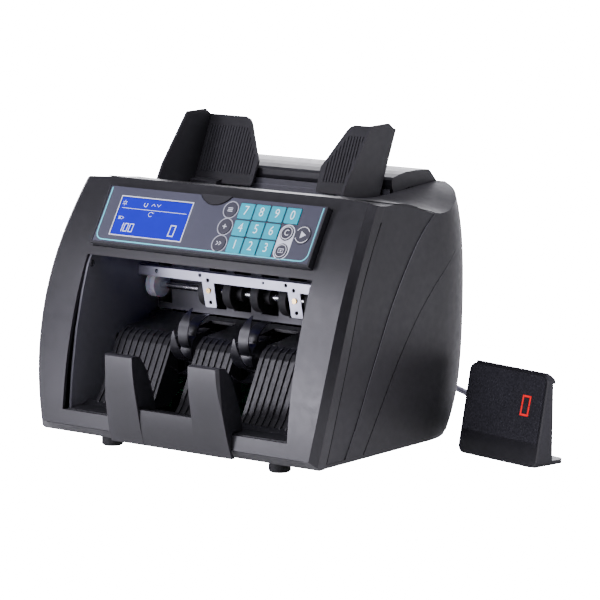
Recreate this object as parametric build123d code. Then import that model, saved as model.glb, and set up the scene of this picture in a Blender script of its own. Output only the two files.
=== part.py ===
"""Banknote counting machine with a customer display on a cord.

All lengths are in millimetres.  The machine is drawn around its own middle
plane (x = 0), with y = 0 at the front lower edge of the base and z = 0 under the
feet.  Everything is then moved by (-SHIFT_X, -SHIFT_Y, 0), so the origin lies in
the middle of the footprint of machine and display, on the table.
"""
from build123d import *
from math import sin, cos, tan, pi, radians, degrees, hypot, atan2, acos, sqrt
import os

# ------------------------------------------------------------------ dimensions
SHIFT_X, SHIFT_Y = 48.0, 111.0     # footprint middle, from the machine's own zero
WALL = 2.6                 # moulded shell wall
CHAMFER = 6.0              # corner bevel between the front face and the sides
HALF_TOP = 103.6           # half width of the hopper opening
POCKET_HALF = 116.5        # half width of the stacker pocket opening
POCKET_LO, POCKET_HI = 30.6, 155.4
FRAME_X = 121.0            # inner face of the steel side frames
FRAME_T = 2.0
SHAFT_R = 3.0              # all three roller shafts are 6 mm
BORE_R = 3.05              # running bore, 0.05 mm radial clearance
STACK_Y, STACK_Z = 62.0, 81.0      # stacker wheel shaft
FEED_Y, FEED_Z = 104.0, 122.0      # feed roller shaft
PICK_Y, PICK_Z = 98.0, 167.0       # pick roller shaft
MOTOR_Y, MOTOR_Z = 172.0, 62.0
ROLLERS = (-49.0, -23.0, 6.0, 35.0, 61.0)   # feed rollers, middle of each
TABS = (-38.8, 50.8)       # hanging tabs of the sensor bracket
KEY_TRAVEL = 0.8
KEY_GAP = 0.35
RAIL_Y, RAIL_Z, RAIL_R = 133.0, 190.0, 3.0   # guide slide rod
HINGE_Y, HINGE_Z, HINGE_R = 204.0, 209.3, 1.5  # rear cover hinge rod
CORD_R = 2.6               # display cord
FOOT_R, FOOT_H = 9.0, 10.8

os.makedirs("parts", exist_ok=True)


def out(name, shape):
    s = Pos(-SHIFT_X, -SHIFT_Y, 0) * shape
    sol = s.solids()
    if len(sol) == 1:
        s = sol[0]
    else:
        s = Compound(children=list(sol))
    s.label = name
    export_step(s, "parts/" + name + ".step")


def bar_x(pts, x0, x1):
    """Prism along X: pts are (y, z) of its outline."""
    face = Face(Wire.make_polygon([Vector(x0, y, z) for y, z in pts], close=True))
    return Solid.extrude(face, Vector(x1 - x0, 0, 0))


def prism_z(pts, z0, z1):
    face = Face(Wire.make_polygon([Vector(x, y, z0) for x, y in pts], close=True))
    return Solid.extrude(face, Vector(0, 0, z1 - z0))


def prism_y(pts, y0, y1):
    face = Face(Wire.make_polygon([Vector(x, y0, z) for x, z in pts], close=True))
    return Solid.extrude(face, Vector(0, y1 - y0, 0))


def block(x0, x1, y0, y1, z0, z1):
    return Pos((x0 + x1) / 2, (y0 + y1) / 2, (z0 + z1) / 2) * Box(x1 - x0, y1 - y0, z1 - z0)


def rod_x(x0, x1, y, z, r):
    return Pos((x0 + x1) / 2, y, z) * Rot(0, 90, 0) * Cylinder(r, x1 - x0)


def ring_x(x0, x1, y, z, r_out, r_in):
    return rod_x(x0, x1, y, z, r_out) - rod_x(x0 - 1, x1 + 1, y, z, r_in)


def lerp(z, table):
    if z <= table[0][0]:
        return table[0][1]
    for (a, va), (b, vb) in zip(table, table[1:]):
        if z <= b:
            return va + (vb - va) * (z - a) / (b - a)
    return table[-1][1]


def both(shape):
    """A piece and its mirror twin."""
    return Compound(children=[shape, mirror(shape, Plane.YZ)])


# -------------------------------------------------------------- body envelope
# height -> front face y, half width at the side, rear y, rear corner radius
LEVELS = [
    (8.0, -9.0, 141.9, 217.1, 70.5),
    (18.4, -8.4, 144.2, 222.6, 74.0),
    (45.0, -5.9, 149.1, 230.9, 80.0),
    (71.0, -1.8, 152.5, 234.0, 84.0),
    (98.0, 4.5, 154.7, 235.2, 87.0),
    (133.0, 15.8, 155.5, 236.0, 88.4),
    (161.0, 28.4, 154.8, 236.3, 88.6),
    (188.0, 43.6, 152.9, 234.6, 88.0),
    (216.0, 62.0, 149.9, 227.3, 86.0),
    (226.0, 69.6, 148.6, 222.5, 84.6),
]


def plan(z, yf, w, yr, r, inset):
    """One level of the body outline, with bevelled front corners."""
    c = CHAMFER
    k = inset * 0.4142
    yf, w, yr, r = yf + inset, w - inset, yr - inset, r - inset
    cx, cy = w - r, yr - r
    q = r * 0.70710678
    c = c - k + 0.0
    edges = [
        Edge.make_line((-(w - c), yf, z), (w - c, yf, z)),
        Edge.make_line((w - c, yf, z), (w, yf + c, z)),
        Edge.make_line((w, yf + c, z), (w, cy, z)),
        Edge.make_three_point_arc((w, cy, z), (cx + q, cy + q, z), (cx, yr, z)),
        Edge.make_line((cx, yr, z), (-cx, yr, z)),
        Edge.make_three_point_arc((-cx, yr, z), (-cx - q, cy + q, z), (-w, cy, z)),
        Edge.make_line((-w, cy, z), (-w, yf + c, z)),
        Edge.make_line((-w, yf + c, z), (-(w - c), yf, z)),
    ]
    return Wire(edges)


def envelope(inset):
    wires = [plan(z, yf, w, yr, r, inset) for z, yf, w, yr, r in LEVELS]
    return Solid.make_loft(wires, ruled=False)


def top_cut(inset):
    """Everything above the roof line of the body."""
    i = inset
    roof = [(-40, 216.0 - i), (61.7, 216.0 - i), (140, 214.4 - i), (206, 214.8 - i),
            (216, 214.0 - i), (226, 209.0 - i), (232.5 - i, 199.0), (236.5 - i, 180.0),
            (260, 120.0), (260, 300), (-40, 300)]
    return bar_x(roof, -200, 200)


def shoulder_cut(inset, side):
    """Slope of the shoulder, from the hopper rim out to the side crease."""
    i = inset
    rows = [(58.0, 216.4, 216.4), (90.0, 213.2, 211.6), (118.0, 209.8, 206.0),
            (149.0, 210.6, 198.4), (176.0, 212.6, 201.0), (205.0, 214.4, 206.0), (245.0, 215.0, 206.0)]
    wires = []
    for y, zi, zo in rows:
        a, b = (HALF_TOP, zi - i), (150.5, zo - i)
        sl = (b[1] - a[1]) / (b[0] - a[0])
        p0 = (HALF_TOP - 0.0, a[1])
        p1 = (170.0, b[1] + sl * 19.5)
        wires.append(Wire.make_polygon([Vector(side * p0[0], y, p0[1]), Vector(side * p1[0], y, p1[1]),
                                        Vector(side * 170, y, 240), Vector(side * p0[0], y, 240)], close=True))
    return Solid.make_loft(wires, ruled=False)


def body(inset):
    s = envelope(inset)
    s = s - top_cut(inset)
    s = s - shoulder_cut(inset, 1) - shoulder_cut(inset, -1)
    return s


def below(z):
    return block(-200, 200, -60, 300, -20, z)


B0 = body(0.0)
B6 = body(0.7)
BI = body(WALL + 0.7)

# sloping underside bevel along the front, and the flat bottom
nose = bar_x([(-30, -5), (-30, 18.4), (-8.4, 18.4), (0.0, 10.8), (0, -5)], -200, 200)
floor_cut = below(10.8)
B0 = B0 - nose - floor_cut
B6 = B6 - nose - floor_cut
BI = BI - bar_x([(-30, -5), (-30, 20.5), (-6.2, 20.5), (1.5, 13.6), (1.5, -5)], -200, 200) - below(13.6)

# parting lines seen from the side, as (y, z)
GAP1 = [(7.4, 5.0), (8.2, 13.4), (11.4, 46.6), (15.0, 68.2), (19.7, 89.7), (28.6, 122.6), (37.6, 148.2), (54.0, 178.7), (78.1, 214.0), (83.6, 222.0)]
ARC1 = [(30.0, 5.0), (33.2, 16.0), (43.0, 49.5), (50.5, 74.0), (60.3, 98.2), (74.0, 126.2), (90.3, 150.9), (109.4, 173.9), (124.0, 187.3), (137.3, 196.8), (150.0, 204.4)]
ARC2 = [(53.2, 5.0), (62.0, 30.3), (71.6, 53.2), (83.1, 77.2), (96.9, 99.4), (114.3, 120.9), (133.1, 139.0), (152.7, 154.5), (172.0, 167.4)]


def smooth_zone(curve, side_pts, x0, x1):
    """Prism along X bounded by a smooth curve and straight lines."""
    pts = [Vector(x0, y, z) for y, z in curve]
    e = [Edge.make_spline(pts)]
    q = [pts[-1]] + [Vector(x0, y, z) for y, z in side_pts] + [pts[0]]
    for a, b in zip(q, q[1:]):
        e.append(Edge.make_line(a, b))
    return Solid.extrude(Face(Wire(e)), Vector(x1 - x0, 0, 0))


def shifted(curve, dy):
    return [(y + dy, z) for y, z in curve]


ahead_gap = smooth_zone(shifted(GAP1, -0.5), [(83.1, 260), (-60, 260), (-60, 5)], -200, 200)
behind_gap = smooth_zone(shifted(GAP1, 0.5), [(84.1, 260), (300, 260), (300, 5)], -200, 200)
ahead_arc1 = smooth_zone(ARC1, [(150.0, 260), (-60, 260), (-60, 5)], -200, 200)
behind_arc1 = smooth_zone(shifted(ARC1, 0.02), [(150.02, 260), (300, 260), (300, 5)], -200, 200)

# ---------------------------------------------------------------- front bezel
shell_front = (B0 - BI) & ahead_gap
bezel = shell_front - block(-132.8, 132.8, -60, 300, -20, 18.6)
pocket_hole = block(-POCKET_HALF, POCKET_HALF, -60, 120, POCKET_LO, POCKET_HI)
bezel = bezel - pocket_hole
FACE_U = Vector(0, 0.5107, 0.8598)        # up the control panel
FACE_N = Vector(0, -0.8598, 0.5107)       # out of the control panel
face_plane = Plane(origin=(0, 24.5, 166.7), x_dir=(1, 0, 0), z_dir=(0, -0.8598, 0.5107))


def on_face(shape):
    return face_plane.location * shape


def face_box(x0, x1, s0, s1, n0, n1, r=0.0):
    b = Pos((x0 + x1) / 2, (s0 + s1) / 2, (n0 + n1) / 2) * Box(x1 - x0, s1 - s0, n1 - n0)
    if r > 0:
        b = fillet(b.edges().filter_by(Axis.Z), r)
    return on_face(b)


def face_disc(x, s, r, n0, n1):
    return on_face(Pos(x, s, (n0 + n1) / 2) * Cylinder(r, n1 - n0))


bezel = bezel - face_box(-113.8, 113.8, -1.6, 51.4, -40, 30)
# the strip under the control panel and the return walls of its recess
under_strip = bar_x([(26.4, 155.4), (29.4, 161.4), (36.5, 157.1), (39.5, 155.4)], -113.6, 113.6)
bezel = bezel + under_strip
# lip along the top edge
top_lip = bar_x([(59.6, 212.4), (61.9, 215.9), (72.0, 215.4), (72.0, 212.8)], -HALF_TOP, HALF_TOP)
bezel = bezel + (top_lip & block(-200, 200, 40, 72, 200, 230))
bezel = bezel - block(-HALF_TOP, HALF_TOP, 72.0, 120, 190, 230)
# thumb scoop in the middle of the lip
lip_back = bar_x([(60.5, 206.8), (62.0, 213.0), (71.8, 213.0), (71.8, 207.4)], -16.0, 17.0)
thumb = face_plane.location * Pos(0.4, 67.0, 6.0) * Sphere(13.5)
bezel = bezel + lip_back - thumb
out("front_bezel", bezel.solids().sort_by(SortBy.VOLUME)[-1])

# ------------------------------------------------------- side panels, rear shell
shell0 = (B6 - BI) & behind_gap & ahead_arc1
roof_zone = bar_x([(60, 217.4), (67, 216.1), (100, 209.6), (130.8, 203.1), (149.0, 197.1), (160, 190), (160, 260), (60, 260)], -200, 200)
side_all = shell0 - roof_zone - block(-120, 120, -60, 300, -20, 300)
bottom_clear = block(-200, 200, -60, 300, -20, 14.2)
side_all = side_all - bottom_clear
rights = [s for s in side_all.solids() if s.center().X > 0]
lefts = [s for s in side_all.solids() if s.center().X < 0]
out("right_side_panel", max(rights, key=lambda s: s.volume))
out("left_side_panel", max(lefts, key=lambda s: s.volume))

rear = (B0 - BI) & behind_arc1
roof_zone2 = bar_x([(60, 217.42), (67, 216.12), (100, 209.62), (130.8, 203.12), (149.0, 197.12), (160, 190.02), (160, 260), (60, 260)], -200, 200)
roof = ((B0 - BI) & behind_gap & roof_zone2)
rear = rear + roof
hopper_hole = block(-HALF_TOP, HALF_TOP, 40, 214.5, 150, 260)
rear = rear - hopper_hole - bottom_clear
rear = rear - block(-200, 200, -60, 72.4, 200, 260) + ((B0 - BI) & behind_gap & roof_zone2 & (block(HALF_TOP, 200, 60, 72.6, 190, 260) + block(-200, -HALF_TOP, 60, 72.6, 190, 260)))
# styling groove that runs up the flank and fades out
line2 = Edge.make_spline([Vector(0, y, z) for y, z in ARC2])
left_side, right_side = [], []
for k in range(49):
    t = k / 48.0
    q, d = line2.position_at(t), line2.tangent_at(t)
    half = 0.52 * (1 - t) ** 0.5 + 0.03
    left_side.append((q.Y - d.Z * half, q.Z + d.Y * half))
    right_side.append((q.Y + d.Z * half, q.Z - d.Y * half))
groove = bar_x(left_side + right_side[::-1], -200, 200)
rear = rear - (groove - envelope(1.2) - block(-100, 100, -60, 300, -20, 300))
# rear openings: mains inlet, rocker, data sockets, fan slots
rear = rear - block(-64.0, -34.0, 200, 260, 32.0, 56.0)
rear = rear - block(-28.3, -12.7, 200, 260, 33.0, 54.5)
rear = rear - block(12.0, 66.0, 200, 260, 28.0, 52.0)
for k in range(7):
    rear = rear - block(-36 + 12 * k - 2, -36 + 12 * k + 2, 200, 260, 80, 128)
# hinge lugs for the rear cover
for sx in (-1, 1):
    lug = block(min(sx * 103.7, sx * 107.4), max(sx * 103.7, sx * 107.4), 199.0, 209.0, 204.0, 212.6)
    lug = lug + rod_x(min(sx * 98.0, sx * 104.5), max(sx * 98.0, sx * 104.5), HINGE_Y, HINGE_Z, 4.0)
    lug = lug - rod_x(min(sx * 90.0, sx * 120.0), max(sx * 90.0, sx * 120.0), HINGE_Y, HINGE_Z, HINGE_R)
    rear = rear + lug
rear = rear - rod_x(-109, -96, HINGE_Y, HINGE_Z, HINGE_R) - rod_x(96, 109, HINGE_Y, HINGE_Z, HINGE_R)
rear_main = max(rear.solids(), key=lambda s: s.volume)
out("rear_shell", rear_main)

# -------------------------------------------------------------- base pan, feet
pan = (envelope(0.9) & block(-200, 200, -1.0, 300, 10.8, 13.8))
pan = pan - bar_x([(-30, -5), (-30, 24), (-9.5, 20), (-8.4, 18.4), (0.0, 10.8), (0, -5)], -200, 200)
upstand = (envelope(4.8) - envelope(7.0)) & block(-200, 200, 40, 300, 13.8, 24.0)
pan = pan + upstand
front_skirt = bar_x([(-8.1, 18.2), (0.0, 10.8), (4.0, 10.8), (4.0, 13.8), (0.6, 13.8), (-4.0, 18.2)], -132.6, 132.6)
pan = pan - block(132.7, 150, -20, 8.9, 5, 30) - block(-150, -132.7, -20, 8.9, 5, 30) + front_skirt
out("base_pan", max(pan.solids(), key=lambda s: s.volume))

feet = []
for sx in (-1, 1):
    for fy in (21.2, 196.0):
        foot = Pos(sx * 87.2, fy, FOOT_H / 2) * Cylinder(FOOT_R, FOOT_H)
        foot = chamfer(foot.edges().filter_by(GeomType.CIRCLE).sort_by(Axis.Z)[:1], 1.2)
        feet.append(foot)
out("feet", Compound(children=feet))

# ----------------------------------------------------------------- bill stop
def curved_bar(front, rest, x0, x1):
    """Prism along X with a smooth front line and a straight-sided back."""
    pts = [Vector(x0, y, z) for y, z in front]
    e = [Edge.make_spline(pts)]
    q = [pts[-1]] + [Vector(x0, y, z) for y, z in rest] + [pts[0]]
    for a, b in zip(q, q[1:]):
        e.append(Edge.make_line(a, b))
    return Solid.extrude(Face(Wire(e)), Vector(x1 - x0, 0, 0))


paddle_front = [(-22.3, 84.1), (-21.6, 70), (-19.3, 54), (-16.0, 38), (-12.4, 23), (-8.6, 11.2)]
paddle_rest = [(-4.6, 11.2), (-9.2, 17.6), (-9.0, 20), (-8.1, 29.8), (-8.1, 30.9), (-4.4, 32.3), (6.2, 32.3), (5.6, 41), (3.4, 52),
              (-3.6, 72), (-11.0, 83.0), (-14, 84.6), (-20.6, 85.2)]
pad = curved_bar(paddle_front, paddle_rest, 28.0, 62.5)
taper = prism_y([(59.0, 90), (59.6, 70), (62.6, 10), (70, 10), (70, 90)], -40, 20)
pad = pad - taper
facet = prism_z([(55.0, -40), (55.0, -24.5), (70, -8.0), (70, -40)], 5, 95)
pad = pad - facet
inner_taper = prism_y([(20, 90), (29.2, 90), (28.0, 45), (20, 45)], -40, 20)
pad = pad - inner_taper
mid = curved_bar([(-14.4, 41.4), (-13.7, 32), (-11.8, 22), (-8.4, 11.2)], [(-4.6, 11.2), (-9.2, 17.6), (-9.0, 20), (-8.1, 31), (-9.6, 41.4)], -28.5, 28.5)
stop = pad + mirror(pad, Plane.YZ) + mid
out("bill_stop", stop)

# -------------------------------------------------------------- stacker tray
tray_out = [(-4.0, 31.2), (14.0, 32.0), (21.0, 35.0), (26.0, 40.5), (48.0, 83.0), (52.0, 88.2), (58.0, 91.8), (79.0, 94.0), (110.0, 98.8)]
tray_in = [(110.0, 96.4), (79.0, 91.6), (58.6, 89.4), (53.6, 86.4), (50.2, 82.0), (28.2, 39.3), (22.4, 33.0), (14.6, 29.6), (-1.0, 28.8), (-4.0, 28.8)]


def tray_piece(x0, x1):
    t = bar_x(tray_out + tray_in, x0, x1)
    n = int((x1 - x0 - 3) / 6.4)
    first = (x0 + x1) / 2 - n * 6.4 / 2
    rib = [(18.0, 32.6), (26.0, 38.6), (49.0, 82.5), (53.0, 87.2), (58.0, 90.5), (58.4, 92.2), (52.0, 89.6), (47.0, 83.8), (25.0, 41.6), (19.8, 35.6)]
    for k in range(n + 1):
        xc = first + k * 6.4
        t = t + bar_x(rib, xc - 0.75, xc + 0.75)
    # side skirts stiffen the slope
    for xs in (x0, x1 - 2.0):
        t = t + bar_x([(26.0, 40.0), (48.4, 83.0), (58.0, 91.0), (78.0, 93.0), (78.0, 60.0), (44.0, 34.0), (24.0, 34.0)], xs, xs + 2.0)
    return t


tray = bar_x([(-4.0, 31.2), (14.0, 32.0), (21.0, 35.0), (22.4, 33.0), (14.6, 29.6), (-4.0, 28.8)], -113.6, 113.6)
tray = tray + tray_piece(-105, -46) + tray_piece(-20, 20) + tray_piece(46, 105)
tray = tray + bar_x([(100.0, 94.9), (110.0, 96.4), (110.0, 98.8), (100.0, 97.3)], -113.6, 113.6)
# slots the skirts keep clear for the stacker wheels
for sx in (-1, 1):
    tray = tray - block(min(sx * 20.5, sx * 45.5), max(sx * 20.5, sx * 45.5), 22.6, 99.5, 20, 99.9)
# bores where the stacker shaft passes the skirts
tray = tray - rod_x(-120, 120, STACK_Y, STACK_Z, 5.5)
tray = tray - block(-120, 120, STACK_Y - 5.5, STACK_Y + 5.5, 50, STACK_Z)
out("stacker_tray", max(tray.solids(), key=lambda s: s.volume))

# ------------------------------------------------------------ pocket walls
liner_pts = [(0.0, 28.0), (3.2, 60.0), (9.0, 95.0), (16.6, 125.0), (24.0, 147.0), (28.4, 154.8), (114.2, 154.8), (114.2, 28.0)]
liner = bar_x(liner_pts, 114.2, 116.2)
liner = liner - rod_x(110, 120, STACK_Y, STACK_Z, 5.0) - rod_x(110, 120, FEED_Y, FEED_Z, 5.0)
liner = liner - block(110, 120, 87.4, 98.6, 130.6, 139.6)

back_pts = [(112.6, 100.0), (114.2, 100.0), (114.2, 154.8), (112.6, 154.8)]
back = bar_x(back_pts, -114.4, 114.4)
for xr in ROLLERS:
    back = back - block(xr - 9, xr + 9, 108, 118, 105, 139)
back = back - block(-113.4, -99, 108, 118, 105, 139)
out("pocket_lining", back + liner + mirror(liner, Plane.YZ))

# ------------------------------------------------------------ sensor bracket
bracket = block(-118.5, 118.5, 88.0, 89.2, 131.2, 139.0)
bracket = bracket + block(-118.5, 118.5, 88.0, 98.0, 137.8, 139.0)
for tx in TABS:
    tab = prism_y([(tx - 7.4, 131.4), (tx + 5.0, 131.4), (tx + 8.2, 110.6), (tx - 3.4, 110.6)], 88.0, 89.2)
    tab = fillet(tab.edges().filter_by(Axis.Y).sort_by(Axis.Z)[:2], 1.4)
    bracket = bracket + tab
holes = [(-95, 135.6, 1.7), (18, 136.2, 1.1), (95, 135.2, 1.7)]
for tx in TABS:
    holes += [(tx - 9.5, 136.4, 1.7), (tx - 1.4, 132.8, 1.7), (tx + 1.8, 114.8, 1.7), (tx, 124.4, 1.25)]
for hx, hz, hr in holes:
    bracket = bracket - Pos(hx, 88.6, hz) * Rot(90, 0, 0) * Cylinder(hr, 6)
out("sensor_bracket", bracket)


def screw_y(x, y, z, r_head, r_shank, head_h, length):
    """Pan screw pointing along +Y, head to the front."""
    s = Pos(x, y - head_h / 2, z) * Rot(90, 0, 0) * Cylinder(r_head, head_h)
    s = s + Pos(x, y + length / 2, z) * Rot(90, 0, 0) * Cylinder(r_shank, length)
    s = s - Pos(x, y - head_h, z) * Box(2 * r_head * 0.8, 0.9, 0.5)
    return s


screws = [screw_y(tx, 88.0, 124.4, 2.2, 1.25, 1.3, 3.2) for tx in TABS]
out("bracket_screws", Compound(children=screws))

# ---------------------------------------------------------------- side frames
frame_pts = [(34, 13.8), (176, 13.8), (190, 44), (199, 80), (199, 150), (186, 190), (124, 200), (90, 198), (72, 184), (56, 150), (36, 100)]
for name, sx in (("left_frame", -1), ("right_frame", 1)):
    x0, x1 = sorted((sx * FRAME_X, sx * (FRAME_X + FRAME_T)))
    fr = bar_x(frame_pts, x0, x1)
    fl0, fl1 = sorted((sx * (FRAME_X + FRAME_T), sx * (FRAME_X + 11)))
    fr = fr + block(fl0, fl1, 34, 172, 13.8, 15.8)
    for (by, bz) in ((STACK_Y, STACK_Z), (FEED_Y, FEED_Z), (PICK_Y, PICK_Z)):
        # bush pressed in the frame, drawn with it
        b0, b1 = sorted((sx * (FRAME_X - 2.0), sx * (FRAME_X + 4.0)))
        fr = fr + rod_x(b0, b1, by, bz, 6.0) - rod_x(b0 - 3, b1 + 3, by, bz, BORE_R)
    b0, b1 = sorted((sx * (FRAME_X - 1.5), sx * (FRAME_X + FRAME_T)))
    fr = fr - rod_x(min(sx * 110, sx * 130), max(sx * 110, sx * 130), RAIL_Y, RAIL_Z, RAIL_R)
    for (hy, hz, hr) in ((150, 100, 12), (180, 130, 10), (120, 60, 10)):
        fr = fr - rod_x(min(sx * 110, sx * 130), max(sx * 110, sx * 130), hy, hz, hr)
    if sx > 0:
        fr = fr - rod_x(110, 130, MOTOR_Y, MOTOR_Z, 9.0)
    out(name, fr)

# --------------------------------------------------------------------- shafts
PULLEY_X0, PULLEY_X1 = 128.0, 135.0
PULLEY2_X0, PULLEY2_X1 = 137.0, 144.0
R_STACK_P, R_FEED_P, R_MOTOR_P, R_PICK_P = 12.0, 9.0, 6.0, 9.0


def pulley(x0, x1, y, z, r):
    p = rod_x(x0, x1, y, z, r)
    return p + rod_x(x0, x0 + 0.8, y, z, r + 1.6) + rod_x(x1 - 0.8, x1, y, z, r + 1.6)


feed = rod_x(-126.5, 146.0, FEED_Y, FEED_Z, SHAFT_R)
feed = feed + pulley(PULLEY_X0, PULLEY_X1, FEED_Y, FEED_Z, R_FEED_P) + pulley(PULLEY2_X0, PULLEY2_X1, FEED_Y, FEED_Z, R_FEED_P)
feed = feed + rod_x(-126.5, -125.6, FEED_Y, FEED_Z, 4.6)
feed = feed - block(143.0, 147.0, FEED_Y + 2.2, FEED_Y + 5, FEED_Z - 5, FEED_Z + 5)
out("feed_shaft", feed)
rollers = []
for xr, wr in ((x, 4.2) for x in ROLLERS):
    r = rod_x(xr - wr, xr + wr, FEED_Y, FEED_Z, 13.6)
    r = chamfer(r.edges().filter_by(GeomType.CIRCLE), 0.5)
    r = r + rod_x(xr + wr - 0.1, xr + wr + 6.0, FEED_Y, FEED_Z, 6.2) - rod_x(xr - 10, xr + 20, FEED_Y, FEED_Z, SHAFT_R)
    rollers.append(r)
out("feed_rollers", Compound(children=rollers))
wr = ring_x(-111.5, -102.5, FEED_Y, FEED_Z, 11.0, SHAFT_R)
wr = wr - ring_x(-108.0, -106.0, FEED_Y, FEED_Z, 12.0, 10.0)
out("guide_roller", wr)

stack = rod_x(-126.5, 137.0, STACK_Y, STACK_Z, SHAFT_R)
stack = stack + pulley(PULLEY_X0, PULLEY_X1, STACK_Y, STACK_Z, R_STACK_P) + rod_x(-126.5, -125.6, STACK_Y, STACK_Z, 4.6)
stack = stack - block(134.9, 138.0, STACK_Y + 2.2, STACK_Y + 5, STACK_Z - 5, STACK_Z + 5)
out("stacker_shaft", stack)
WHEEL_R = 34.0


def impeller(xc, half):
    """Wheel with curved fins that narrow to a point."""
    w = ring_x(xc - half, xc + half, STACK_Y, STACK_Z, 13.0, SHAFT_R)
    n = 7
    for k in range(n):
        base = 2 * pi * k / n + radians(40)
        outer, inner, mids = [], [], []
        for j in range(11):
            t = j / 10.0
            r = 12.0 + (WHEEL_R - 12.0) * t
            a = base - 1.25 * t ** 1.1
            half_t = 1.2 * (1 - t) + 0.3
            da = half_t / r
            outer.append((STACK_Y - r * cos(a + da), STACK_Z - r * sin(a + da)))
            inner.append((STACK_Y - r * cos(a - da), STACK_Z - r * sin(a - da)))
            mids.append((STACK_Y - r * cos(a), STACK_Z - r * sin(a)))
        xf = xc - half + 0.4
        oe = Edge.make_spline([Vector(xf, y, z) for y, z in outer])
        ie = Edge.make_spline([Vector(xf, y, z) for y, z in inner[::-1]])
        tip = Edge.make_line(oe.position_at(1), ie.position_at(0))
        root = Edge.make_line(ie.position_at(1), oe.position_at(0))
        fin = Solid.extrude(Face(Wire([oe, tip, ie, root])), Vector(2 * half - 0.8, 0, 0))
        (ay, az), (by, bz) = mids[5], mids[10]
        ln = hypot(by - ay, bz - az)
        dy, dz = (by - ay) / ln, (bz - az) / ln
        pl = Plane(origin=(xc, by, bz), x_dir=(1, 0, 0), z_dir=(0, -dz, dy))
        tri = Face(Wire.make_polygon([Vector(x, v, -30) for x, v in ((-0.5, 0.4), (0.5, 0.4), (half, -17.0), (half, -70.0), (-half, -70.0), (-half, -17.0))], close=True))
        fin = fin & (pl.location * Solid.extrude(tri, Vector(0, 0, 60)))
        w = w + fin
    return w


wheels = [impeller(sx * 31.5, 5.5) for sx in (-1, 1)]
out("stacker_wheels", Compound(children=wheels))

pick = rod_x(-126.5, 146.0, PICK_Y, PICK_Z, SHAFT_R)
pick = pick + pulley(PULLEY2_X0, PULLEY2_X1, PICK_Y, PICK_Z, R_PICK_P) + rod_x(-126.5, -125.6, PICK_Y, PICK_Z, 4.6)
pick = pick - block(143.0, 147.0, PICK_Y + 2.2, PICK_Y + 5, PICK_Z - 5, PICK_Z + 5)
out("pick_shaft", pick)
prs = []
for xr in (-38, 38):
    r = ring_x(xr - 8, xr + 8, PICK_Y, PICK_Z, 16.0, SHAFT_R)
    for g in (-4, 0, 4):
        r = r - ring_x(xr + g - 0.6, xr + g + 0.6, PICK_Y, PICK_Z, 17, 15.0)
    prs.append(r)
out("pick_rollers", Compound(children=prs))

# --------------------------------------------------------------- motor, belts
motor = rod_x(66.0, 112.0, MOTOR_Y, MOTOR_Z, 26.0)
motor = fillet(motor.edges().filter_by(GeomType.CIRCLE), 2.0)
motor = motor + rod_x(112.0, 120.4, MOTOR_Y, MOTOR_Z, 8.0) + block(84, 104, MOTOR_Y - 20, MOTOR_Y + 20, 14.0, MOTOR_Z)
motor = motor - rod_x(100, 130, MOTOR_Y, MOTOR_Z, 2.55)
out("drive_motor", motor)
spin = rod_x(101.0, 137.0, MOTOR_Y, MOTOR_Z, 2.5) + pulley(PULLEY_X0, PULLEY_X1, MOTOR_Y, MOTOR_Z, R_MOTOR_P)
spin = spin - block(134.9, 138.0, MOTOR_Y + 1.8, MOTOR_Y + 5, MOTOR_Z - 5, MOTOR_Z + 5)
out("motor_spindle", spin)


def belt(circles, x0, x1, gap, t):
    """Closed band round a convex set of pulleys, as an outline polygon."""
    def hull(extra):
        pts = []
        for (cy, cz, r) in circles:
            for k in range(96):
                a = 2 * pi * k / 96
                pts.append((cy + (r + extra) * cos(a), cz + (r + extra) * sin(a)))
        pts = sorted(set(pts))

        def half(seq):
            h = []
            for p in seq:
                while len(h) >= 2 and (h[-1][0] - h[-2][0]) * (p[1] - h[-2][1]) - (h[-1][1] - h[-2][1]) * (p[0] - h[-2][0]) <= 0:
                    h.pop()
                h.append(p)
            return h
        lo = half(pts)
        hi = half(list(reversed(pts)))
        return lo[:-1] + hi[:-1]
    return bar_x(hull(gap + t), x0, x1) - bar_x(hull(gap), x0 - 1, x1 + 1)


belt_a = belt([(MOTOR_Y, MOTOR_Z, R_MOTOR_P), (STACK_Y, STACK_Z, R_STACK_P), (FEED_Y, FEED_Z, R_FEED_P)], PULLEY_X0 + 1.3, PULLEY_X1 - 1.3, 0.35, 1.2)
belt_b = belt([(FEED_Y, FEED_Z, R_FEED_P), (PICK_Y, PICK_Z, R_PICK_P)], PULLEY2_X0 + 1.3, PULLEY2_X1 - 1.3, 0.35, 1.2)
out("drive_belts", Compound(children=[belt_a, belt_b]))

# ------------------------------------------------------------ hopper tray
hop_t = 2.4
hop = bar_x([(80.0, 181.6), (127.0, 185.2), (127.0, 182.8), (81.0, 179.2)], -102.4, 102.4)
hop = hop + bar_x([(80.0, 181.6), (74.5, 211.8), (76.8, 211.8), (82.2, 181.6)], -102.4, 102.4)
# back wall of the hopper, rising in steps to just under the rear cover
hop = hop + bar_x([(141.0, 178.0), (141.0, 186.0), (146.2, 203.0), (147.0, 203.6), (147.0, 207.8), (147.9, 208.4), (147.9, 212.8), (150.0, 212.8), (150.0, 203.6), (149.0, 201.0), (143.4, 185.2), (143.4, 178.0)], -100.2, 100.2)
hop = hop + bar_x([(127.0, 185.2), (127.0, 172.0), (143.4, 172.0), (143.4, 180.0), (141.0, 180.0), (141.0, 174.4), (129.4, 174.4), (129.4, 182.8)], -102.4, 102.4)
for sx in (-1, 1):
    hop = hop + block(min(sx * 100.2, sx * 102.4), max(sx * 100.2, sx * 102.4), 76.0, 127.0, 179.5, 205.0)
    hop = hop - block(min(sx * 29.0, sx * 47.0), max(sx * 29.0, sx * 47.0), 84.4, 116.0, 170, 195)
out("hopper_tray", max(hop.solids(), key=lambda s: s.volume))

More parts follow.
